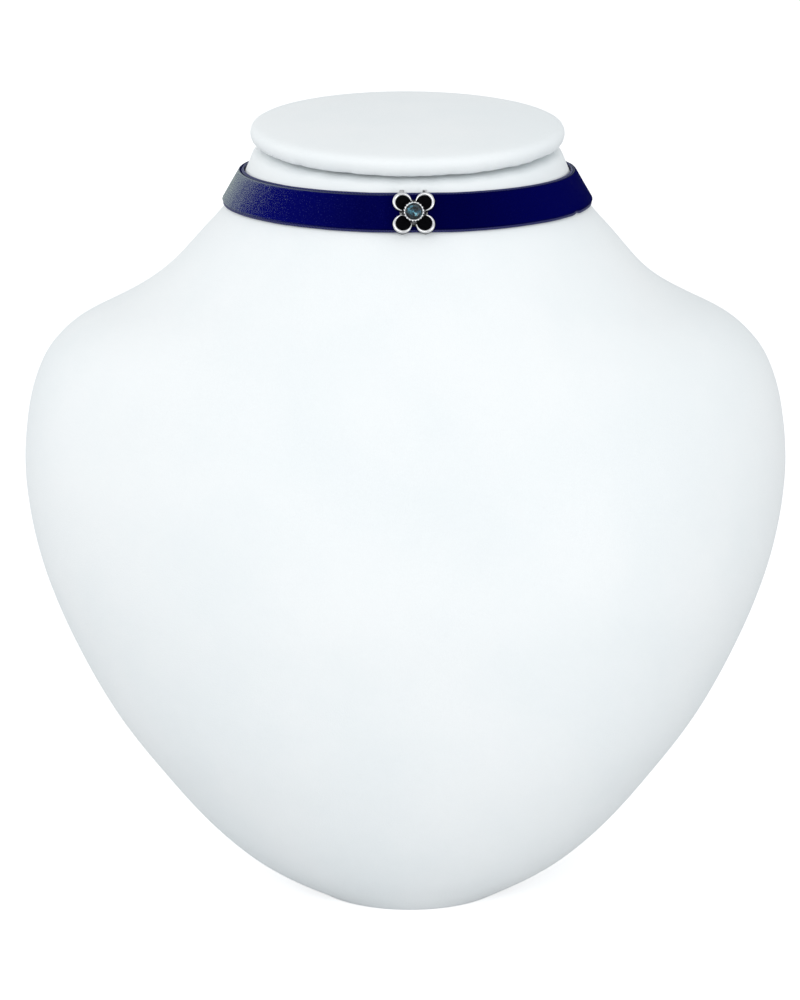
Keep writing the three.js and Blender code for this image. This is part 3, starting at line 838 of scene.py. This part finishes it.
@dataclass
class NeckDisc:
    """The padded disc on the neck's top, its leatherette drawn under the edge in small puckers."""

    skin: NeckSkin
    thickness: float = 5.5
    overhang: float = 1.4
    crown: float = 1.6
    gap: float = 0.3
    steps: int = 168
    pucker_depth: float = 0.6
    pucker_drop: float = 0.55
    pucker_counts: tuple[float, float] = (16.0, 37.0)
    patch_count: float = 2.3
    patch_origin: tuple[float, float, float] = (4.0, 0.0, 0.0)
    # The share of the radius, of the thickness and of the crown, from the middle of the underside.
    profile: tuple[tuple[float, float, float], ...] = (
        (0.0, 0.0, 0.0), (0.5, 0.0, 0.0), (0.9, 0.0, 0.0), (0.955, 0.02, 0.0), (0.982, 0.12, 0.0),
        (0.995, 0.3, 0.0), (1.0, 0.52, 0.0), (0.995, 0.74, 0.0), (0.98, 0.9, 0.0), (0.95, 0.985, 0.02),
        (0.88, 1.0, 0.2), (0.7, 1.0, 0.55), (0.4, 1.0, 0.87), (0.15, 1.0, 0.985), (0.0, 1.0, 1.0),
    )

    def _pucker(self, angle: float, share: float, height: float) -> float:
        """How far the leatherette is drawn in at an angle round the disc, near its lower edge."""
        around = Vector((math.cos(angle), math.sin(angle), 0.0))
        wide, narrow = (abs(noise.noise(around * count)) for count in self.pucker_counts)
        patches = noise.noise(around * self.patch_count + Vector(self.patch_origin))
        patchy = mix(0.4, 1.0, smooth_step(0.5 + patches))
        low = bell(height / self.thickness - 0.1, 0.3) * (share > 0.9)
        return self.pucker_depth * (wide + 0.6 * narrow) * patchy * low

    def build(self, leather: Material) -> bpy.types.Object:
        """Builds the disc, which stands for its CAD node."""
        widest = self.skin.point(self.skin.bust_height, 0.0).x
        grow = 1 + self.overhang / widest
        tilt = Matrix.Rotation(math.atan(self.skin.lean), 3, "X")
        turned = [
            (radius * widest, height * self.thickness + crown * self.crown)
            for radius, height, crown in self.profile
        ]

        def onto_neck(point: Vector) -> Vector:
            """Brings a point of the round form onto the neck's oval top."""
            radius, angle = polar(point)
            share = radius / widest
            pucker = self._pucker(angle, share, point.z)
            drawn = share * grow - pucker / widest
            rise = point.z + self.pucker_drop * pucker / self.pucker_depth
            rim = self.skin.point(self.skin.bust_height, angle)
            level = self.skin.bust_height + self.skin.lean * rim.y * drawn
            flat = Vector((rim.x * drawn, rim.y * drawn, level))
            return self.skin.in_frame(flat + tilt @ Vector((0.0, 0.0, self.gap + rise)))

        form = reshape(spun(turned, self.steps), onto_neck)
        bmesh.ops.recalc_face_normals(form, faces=form.faces[:])
        made = Finish(Slot.LEATHERETTE, levels=1).piece("neck_disc", form, [leather])
        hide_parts("neck_cap")
        return made


@dataclass
class VelvetRibbon:
    """The choker's ribbon: a woven ground with a rounded velvet pile, laid once round the neck."""

    skin: NeckSkin
    width: float = 10.6
    ground: float = 0.45
    pile: float = 0.75
    selvedge: float = 0.65
    gap: float = 0.3
    end_gap: float = 9.0
    loop_half: float = 3.55
    loop_lift: float = 0.46
    crimp_grip: float = 4.0
    crimp_lift: float = 0.75
    lift_run: float = 9.0
    stations: int = 330
    wander: float = 0.07
    unevenness: float = 0.05
    nick_place: float = 40.8
    nick_depth: float = 0.45
    nick_half: float = 0.45

    @property
    def thickness(self) -> float:
        """Ground and pile together."""
        return self.ground + self.pile

    def level(self, angle: float) -> float:
        """How far the ribbon's back stands off the neck, more where the loops and crimps go behind it."""
        place = self.skin.station(self.skin.ribbon_middle, angle)
        hold, lift = self.loop_half, self.loop_lift
        if place.point.y > self.skin.axis:
            hold, lift = self.end_gap / 2 + self.crimp_grip, self.crimp_lift
        away = (abs(place.point.x) - hold) / self.lift_run
        return self.skin.bed(angle, self.width / 2, self.gap) + lift * (1 - smooth_step(away))

    def outline(self) -> list[tuple[float, float]]:
        """The cross-section as a closed round: how far up the neck, and how far out of the back."""
        half = self.width / 2
        shelf = half - self.selvedge
        top = self.thickness
        upper = [
            (half * 0.55, 0.0),
            (half * 0.94, 0.0),
            (half - 0.06, 0.05),
            (half, self.ground * 0.5),
            (half - 0.06, self.ground - 0.05),
            (half - 0.2, self.ground),
            (shelf + 0.08, self.ground),
            (shelf, self.ground + 0.06),
            (shelf - 0.01, mix(self.ground, top, 0.4)),
            (shelf - 0.07, mix(self.ground, top, 0.72)),
            (shelf - 0.22, mix(self.ground, top, 0.93)),
            (shelf - 0.5, top),
            *((shelf - inward, top + 0.01) for inward in (1.1, 1.9, 2.7, 3.5)),
        ]
        lower = [(-across, out) for across, out in reversed(upper)]
        return [(0.0, 0.0), *upper, (0.0, top + 0.01), *lower]

    def places(self) -> list[tuple[float, float]]:
        """The angle and the length from the first end, for each station."""
        start = self.skin.beside(BACK, -self.end_gap / 2) - FULL_TURN
        end = self.skin.beside(BACK, self.end_gap / 2)
        angles = [mix(start, end, i / self.stations) for i in range(self.stations + 1)]
        points = [self.skin.in_frame(self.skin.point(self.skin.ribbon_middle, a)) for a in angles]
        lengths = [0.0]
        for before, after in zip(points, points[1:]):
            lengths.append(lengths[-1] + (after - before).length)
        return list(zip(angles, lengths))

    def _laid(self, place: Station, level: float, length: float, across: float, out: float) -> Vector:
        """A point of the ribbon, with the small unevenness of cut cloth."""
        half = self.width / 2
        edge = smooth_step((abs(across) - half + 1.2) / 1.0)
        side = math.copysign(1.0, across)
        across += edge * self.wander * noise.noise(Vector((length * 0.11, side * 3.0, 0.0)))
        if across < 0 and place.point.y < self.skin.axis:
            across += self.nick_depth * edge * bell(place.point.x - self.nick_place, self.nick_half)
        if out > self.ground + 0.1:
            rough = noise.noise(Vector((length * 0.55, across * 0.8, 7.0)))
            out += self.unevenness * rough
        return place.point + place.up * across + place.out * (level + out)

    def build(self, velvet: Material, ground: Material) -> bpy.types.Object:
        """Builds the ribbon, which stands for its CAD node."""
        outline = self.outline()
        places = self.places()
        girth = [0.0]
        for before, after in zip(outline, outline[1:] + outline[:1]):
            girth.append(girth[-1] + math.dist(before, after))
        stations = [self.skin.station(self.skin.ribbon_middle, angle) for angle, _ in places]
        levels = [self.level(angle) for angle, _ in places]

        form = bmesh.new()
        bmesh.ops.create_grid(form, x_segments=self.stations, y_segments=len(outline), size=0.5)
        chart = form.loops.layers.uv.new(RIBBON_CHART)
        where = {
            vert: (round((vert.co.x + 0.5) * self.stations), round((vert.co.y + 0.5) * len(outline)))
            for vert in form.verts
        }
        for face in form.faces:
            first = min(where[v][1] for v in face.verts)
            outs = [outline[k % len(outline)][1] for k in (first, first + 1)]
            in_pile = min(outs) >= self.ground and max(outs) > self.ground + 0.01
            face.material_index = 0 if in_pile else 1
            for loop in face.loops:
                i, k = where[loop.vert]
                loop[chart].uv = (places[i][1], girth[k])
        for vert, (i, k) in where.items():
            across, out = outline[k % len(outline)]
            vert.co = self._laid(stations[i], levels[i], places[i][1], across, out)
        bmesh.ops.remove_doubles(form, verts=form.verts[:], dist=1e-4)
        ends = [edge for edge in form.edges if edge.is_boundary]
        for face in bmesh.ops.holes_fill(form, edges=ends, sides=0)["faces"]:
            face.material_index = 1
        bmesh.ops.recalc_face_normals(form, faces=form.faces[:])
        made = Finish(Slot.VELVET).piece("ribbon_velvet", form, [velvet, ground])
        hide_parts("velvet_ribbon")
        LOG.info("ribbon: %.1f mm from end to end", places[-1][1])
        return made


@dataclass
class FlowerSlider:
    """The four-petal slider: dished black petals in rubbed silver rims round a scalloped cup."""

    skin: NeckSkin
    ribbon: VelvetRibbon
    clearance: float = 0.12
    drop: float = 0.5
    petal_radius: float = 2.5
    petal_offset: float = 2.95
    petal_floor: float = 0.5
    dish: float = 0.1
    rim_width: float = 1.0
    rim_height: float = 0.95
    rim_sweep: float = math.radians(262)
    rim_end: float = 0.34
    rim_swell_power: float = 0.8
    rim_low: float = 0.35
    web_radius: float = 3.5
    web_thickness: float = 0.4
    cup_radius: float = 2.68
    cup_height: float = 2.0
    scallops: int = 20
    scallop_depth: float = 0.2
    loop_offset: float = 2.95
    loop_width: float = 1.2
    loop_thickness: float = 0.34
    loop_squareness: float = 9.0
    loop_easing: float = 0.07
    stone_radius: float = 2.1

    def place(self, above: float) -> Matrix:
        """Brings a form to the front of the ribbon, a distance above the backs of the petals."""
        hung = Matrix.Translation((0.0, -self.drop, 0.0))
        return self.skin.station(self.skin.ribbon_middle, FRONT).matrix(self.away + above) @ hung

    @property
    def away(self) -> float:
        """How far the backs of the petals stand off the neck."""
        bed = self.skin.bed(FRONT, self.ribbon.width / 2, self.ribbon.gap)
        return bed + self.ribbon.loop_lift + self.ribbon.thickness + self.clearance

    def _petal(self) -> Form:
        """One petal's dished floor, black where the rim shelters it."""
        edge = self.petal_radius - 0.3 * self.rim_width
        floor = self.petal_floor
        profile = [
            (0.0, 0.0), (edge - 0.15, 0.0), (edge, 0.1), (edge, floor - 0.08), (edge - 0.1, floor),
            (edge * 0.75, floor - 0.45 * self.dish), (edge * 0.4, floor - 0.9 * self.dish),
            (0.0, floor - self.dish),
        ]
        return marked(spun(profile, 40), POLISH_AND_RIM_SHADE, lambda p: 0.4 if p.z < 0.1 * floor else 0.02)

    def _rim(self) -> Form:
        """One petal's raised rim, a half-round bar that thins away at both ends."""
        far = 10.0
        section = [
            (-0.5, 0.02), (-0.5, 0.42), (-0.45, 0.66), (-0.3, 0.87), (-0.1, 0.985),
            (0.12, 0.985), (0.32, 0.87), (0.46, 0.66), (0.5, 0.42), (0.5, 0.02),
        ]
        form = spun([(far + x, z) for x, z in section], 52, self.rim_sweep, ring=True)

        def taper(point: Vector) -> Vector:
            """Brings a point of the plain bar to the rim's own width and height there."""
            reached, angle = polar(point)
            angle %= FULL_TURN
            if angle > (FULL_TURN + self.rim_sweep) / 2:
                angle = 0.0
            share = min(1.0, angle / self.rim_sweep)
            swell = mix(self.rim_end, 1.0, math.sin(math.pi * share) ** self.rim_swell_power)
            width = self.rim_width * swell
            top = mix(self.petal_floor, self.rim_height, mix(self.rim_low, 1.0, swell))
            radius = self.petal_radius - width / 2 + width * (reached - far)
            return Vector((radius * math.cos(angle), radius * math.sin(angle), top * point.z))

        # The crown of the rim is rubbed bright and its foot beside the floor is antique black; its flanks
        # are painted dark as shade.
        marked(form, POLISH_AND_RIM_SHADE, lambda p: mix(0.12, 1.0, smooth_step((p.z - 0.38) / 0.5)))
        return reshape(form, taper)

    def _cup(self) -> Form:
        """The cup that holds the crystal, its wall folded into scallops that lap over the stone."""
        outer, top = self.cup_radius, self.cup_height
        seat = self.stone_radius + 0.04
        profile = [
            (0.0, 0.02), (outer - 0.2, 0.02), (outer - 0.18, top * 0.3), (outer - 0.14, top * 0.5),
            (outer - 0.04, top * 0.68), (outer, top * 0.8), (outer - 0.01, top * 0.9),
            (outer - 0.09, top * 0.97), (outer - 0.24, top), (outer - 0.4, top * 0.985),
            (outer - 0.49, top * 0.94), (seat, top * 0.88), (seat, top * 0.78), (0.5, 0.45), (0.0, 0.4),
        ]
        form = spun(profile, self.scallops * 8)

        def wave(point: Vector) -> float:
            """0 at the crest of a scallop and 1 in the notch beside it."""
            around = 0.5 + 0.5 * math.cos(self.scallops * polar(point)[1])
            return around ** 1.6

        def fold(point: Vector) -> Vector:
            """Presses the notches between the scallops."""
            radius, _ = polar(point)
            outside = smooth_step((radius - self.stone_radius - 0.2) / 0.25)
            rise = smooth_step((point.z / top - 0.35) / 0.35)
            depth = self.scallop_depth * wave(point) * outside * rise
            pulled = point * ((radius - depth) / radius) if radius > 0 else point.copy()
            pulled.z = point.z - 0.5 * depth * smooth_step((point.z / top - 0.85) / 0.1)
            return pulled

        def polish(point: Vector) -> float:
            """Bright on the scallops, black in the notches, down the wall and in the cup."""
            radius, _ = polar(point)
            if radius < self.stone_radius + 0.08:
                return 0.45
            notch = wave(point) * smooth_step((radius - self.stone_radius - 0.25) / 0.2)
            return smooth_step((point.z / top - 0.35) / 0.35) * (1 - 0.7 * notch)

        marked(form, POLISH_AND_RIM_SHADE, polish)
        return reshape(form, fold)

    def _web(self) -> Form:
        """The plate behind the cup that joins the petals."""
        edge, thick = self.web_radius, self.web_thickness
        profile = [
            (0.0, 0.01), (edge - 0.1, 0.01), (edge, 0.1),
            (edge, thick - 0.1), (edge - 0.1, thick), (0.0, thick),
        ]
        return marked(spun(profile, 64), POLISH_AND_RIM_SHADE, lambda _: 0.34)

    def _loop(self) -> Form:
        """One flat wire loop round the ribbon, its front side let into the petals."""
        half = self.loop_width / 2
        inner_up = self.ribbon.width / 2 + self.clearance
        behind = -(self.ribbon.thickness + 2 * self.clearance)
        front = -0.02
        power = self.loop_squareness
        side = half - self.loop_easing
        section = [
            (1.0, -side), (1.0, side), (1.2, half), (1.8, half),
            (2.0, side), (2.0, -side), (1.8, -half), (1.2, -half),
        ]
        form = spun(section, 64, ring=True)

        def squared(point: Vector) -> Vector:
            """Brings a point of the round band to the loop's tall, shallow shape."""
            radius, angle = polar(point)
            wide = self.loop_thickness * (radius - 1.0)
            c, s = math.cos(angle), math.sin(angle)
            reach = (abs(c) ** power + abs(s) ** power) ** (-1 / power)
            up = (inner_up + wide) * reach * c
            deep = ((front - behind) / 2 + wide) * reach * s + (front + behind) / 2
            return Vector((point.z, up, deep))

        reshape(form, squared)
        bmesh.ops.recalc_face_normals(form, faces=form.faces[:])
        return marked(form, POLISH_AND_RIM_SHADE, lambda _: 0.46)

    def build(self, silver: Material) -> bpy.types.Object:
        """Builds the flower, which stands for its CAD node."""
        forms = [self._web(), self._cup()]
        for side in (-1, 1):
            loop = self._loop()
            bmesh.ops.translate(loop, vec=(side * self.loop_offset, self.drop, 0), verts=loop.verts[:])
            forms.append(loop)
            for rise in (-1, 1):
                centre = Vector((side * self.petal_offset, rise * self.petal_offset, 0))
                outward = math.atan2(centre.y, centre.x)
                rim = self._rim()
                turn = Matrix.Rotation(outward - self.rim_sweep / 2, 4, "Z")
                bmesh.ops.transform(rim, matrix=Matrix.Translation(centre) @ turn, verts=rim.verts[:])
                petal = self._petal()
                bmesh.ops.translate(petal, vec=centre, verts=petal.verts[:])
                forms += [petal, rim]
        form = gathered(forms)
        bmesh.ops.transform(form, matrix=self.place(0.0), verts=form.verts[:])
        made = Finish(Slot.SILVER, sharp_degrees=50).piece("flower_slider", form, [silver])
        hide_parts("flower_charm")
        return made


@dataclass
class Crystal:
    """A round brilliant: an eight-sided table, kites, girdle facets, and a foiled pavilion."""

    flower: FlowerSlider
    radius: float = 2.1
    crown: float = 0.75
    pavilion: float = 1.15
    girdle: float = 0.12
    table_share: float = 0.56
    kite_share: float = 0.58
    culet_share: float = 0.36
    culet_depth: float = 0.74
    below_lip: float = 0.35
    # Painted reflection on the foil for each sixteenth of a turn, from the right and up: 0 is dark, 1 a
    # painted glint.
    painted_facet_lights: tuple[float, ...] = (
        0.12, 0.05, 0.0, 0.1, 0.15, 0.45, 0.3, 0.55, 0.35, 0.3, 0.12, 0.35, 0.0, 0.1, 1.0, 0.25,
    )

    @staticmethod
    def _round(count: int, radius: float, height: float, turn: float) -> list[Vector]:
        """Points round a level circle."""
        angles = [(i + turn) / count * FULL_TURN for i in range(count)]
        return [Vector((radius * math.cos(a), radius * math.sin(a), height)) for a in angles]

    def build(self, glass: Material, foil: Material) -> bpy.types.Object:
        """Builds the crystal, which stands for its CAD node."""
        radius, belt = self.radius, self.girdle / 2
        points = [
            *self._round(8, radius * self.table_share, self.crown, 0.5),
            *self._round(8, radius * (1 + self.table_share) / 2, self.crown * self.kite_share, 0.0),
            *self._round(16, radius, belt, 0.0),
            *self._round(16, radius, -belt, 0.0),
            *self._round(8, radius * self.culet_share, -self.pavilion * self.culet_depth, 0.5),
            Vector((0.0, 0.0, -self.pavilion)),
        ]
        form = bmesh.new()
        corners = [form.verts.new(point) for point in points]
        bmesh.ops.convex_hull(form, input=corners)
        bmesh.ops.dissolve_limit(form, angle_limit=0.01, verts=form.verts[:], edges=form.edges[:])
        bmesh.ops.recalc_face_normals(form, faces=form.faces[:])
        tone = form.faces.layers.float.new(PAINTED_FACET_LIGHT)
        for face in form.faces:
            centre = face.calc_center_median()
            sector = round(polar(centre)[1] / FULL_TURN * len(self.painted_facet_lights))
            face[tone] = self.painted_facet_lights[sector % len(self.painted_facet_lights)]
            face.material_index = 1 if centre.z < -belt - 1e-3 else 0
        level = self.flower.cup_height - self.below_lip
        bmesh.ops.transform(form, matrix=self.flower.place(level), verts=form.verts[:])
        made = Finish(Slot.CRYSTAL, flat=True).piece("round_crystal", form, [glass, foil])
        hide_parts("stone")
        return made


@dataclass
class BackClasp:
    """The plain clasp behind the neck: two crimps and the bar between them, with eased edges."""

    easing: float = 0.12

    def build(self, steel: Material) -> bpy.types.Object:
        """Builds the clasp, which stands for its CAD node."""
        form = copied_node("clasp", quads=False)
        bmesh.ops.dissolve_limit(form, angle_limit=0.02, verts=form.verts[:], edges=form.edges[:])
        corners = [edge for edge in form.edges if edge.calc_face_angle(0) > 0.5]
        eased(form, corners, self.easing)
        made = Finish(Slot.CLASP_METAL, sharp_degrees=35).piece("back_clasp", form, [steel])
        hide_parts("clasp")
        return made


# Studio


@dataclass(frozen=True)
class StudioCamera:
    """The camera, set where the picture was taken from."""

    distance: float = 950.0
    azimuth: float = -2.0
    elevation: float = 12.0
    target: tuple[float, float, float] = (-2.7, -9.5, 107.0)
    focal_pixels: float = 3565.0
    picture_height: float = 1000.0
    sensor_height: float = 36.0

    def build(self) -> bpy.types.Object:
        """Makes the camera and gives it to the scene."""
        data = bpy.data.cameras.new("studio_camera")
        data.sensor_fit = "VERTICAL"
        data.sensor_height = self.sensor_height
        data.lens = self.focal_pixels / self.picture_height * self.sensor_height
        data.clip_start = 0.01
        made = placed("studio_camera", data)
        turn, rise = math.radians(self.azimuth), math.radians(self.elevation)
        back = Vector((math.sin(turn) * math.cos(rise), -math.cos(turn) * math.cos(rise), math.sin(rise)))
        made.location = (Vector(self.target) + back * self.distance) * MM
        made.rotation_euler = (-back).to_track_quat("-Z", "Y").to_euler()
        bpy.context.scene.camera = made
        return made


@dataclass(frozen=True)
class SoftLight:
    """One soft rectangular light: where it stands, what it faces, its size and its strength."""

    name: str
    place: tuple[float, float, float]
    size: tuple[float, float]
    watts: float
    aim: tuple[float, float, float] = (0.0, 0.0, 0.12)

    def build(self) -> bpy.types.Object:
        """Makes the light, facing its aim."""
        data = bpy.data.lights.new(self.name, "AREA")
        data.shape = "RECTANGLE"
        data.size, data.size_y = self.size
        data.energy = self.watts
        made = placed(self.name, data)
        made.location = self.place
        facing = Vector(self.aim) - Vector(self.place)
        made.rotation_euler = facing.to_track_quat("-Z", "Y").to_euler()
        return made


@dataclass
class Studio:
    """A plain white sweep under soft light, the key from above on the left."""

    floor_half: float = 9.0
    floor_light: float = 0.1
    floor_seen: float = 0.64
    world_light: float = 0.8
    world_seen: float = 1.05
    lights: tuple[SoftLight, ...] = field(default_factory=lambda: (
        SoftLight("key_light", (-0.65, -1.85, 0.9), (1.3, 1.3), 9.6),
        SoftLight("fill_light", (1.3, -1.6, 0.3), (1.2, 1.0), 9.4),
        SoftLight("side_light", (-1.6, 0.3, 0.5), (0.8, 1.4), 4.5),
    ))

    @staticmethod
    def _glow(graph: Graph, as_light: float, as_seen: float) -> Socket:
        """A strength that is one value as a light and another where the camera looks straight at it."""
        seen = graph.add("ShaderNodeLightPath").outputs["Is Camera Ray"]
        return graph.math("MULTIPLY_ADD", seen, as_seen - as_light, as_light)

    def _floor(self) -> None:
        """The pale floor, which isn't part of the object."""
        made, graph = new_material("studio_floor")
        close_material(graph, {
            "Base Color": (0.62, 0.63, 0.64, 1.0),
            "Roughness": 0.9,
            "Specular IOR Level": 0.0,
            "Emission Color": (1.0, 1.0, 1.0, 1.0),
            "Emission Strength": self._glow(graph, self.floor_light, self.floor_seen),
        })
        form = bmesh.new()
        bmesh.ops.create_grid(form, x_segments=2, y_segments=2, size=self.floor_half)
        mesh = bpy.data.meshes.new("studio_floor")
        form.to_mesh(mesh)
        form.free()
        mesh.materials.append(made)
        floor = placed("studio_floor", mesh)

    def _world(self) -> None:
        """An even white surround: full white to look at, gentler as a light."""
        world = bpy.data.worlds.new("studio_world")
        world.use_nodes = True
        world.node_tree.nodes.clear()
        graph = Graph(world.node_tree)
        strength = self._glow(graph, self.world_light, self.world_seen)
        shader = graph.add("ShaderNodeBackground", {"Color": (0.98, 1.0, 1.01, 1.0), "Strength": strength})
        graph.add("ShaderNodeOutputWorld", {"Surface": shader.outputs[0]})
        bpy.context.scene.world = world

    def build(self) -> None:
        """Builds floor, surround and lights, and shows colours as they are."""
        self._floor()
        self._world()
        for light in self.lights:
            light.build()
        bpy.context.scene.view_settings.view_transform = "Standard"


def main() -> None:
    """Builds the parts in order and reports each one."""
    logging.basicConfig(level=logging.INFO, format="%(message)s")
    StudioCamera().build()
    Studio().build()
    effects = Effects()
    leather = Leatherette().material("leatherette", effects)
    velvet = Velvet().material("velvet_pile", effects)
    ground = WovenGround().material("woven_ground", effects)
    silver = AntiqueSilver().material("antique_silver", effects)
    steel = SatinSteel().material("satin_steel", effects)
    crystal = CrystalGlass()

    skin = NeckSkin()
    NeckBust(skin).build(leather)
    NeckDisc(skin).build(leather)
    ribbon = VelvetRibbon(skin)
    ribbon.build(velvet, ground)
    flower = FlowerSlider(skin, ribbon)
    flower.build(silver)
    Crystal(flower).build(crystal.crown(), crystal.foil())
    BackClasp().build(steel)


if __name__ == "__main__":
    main()
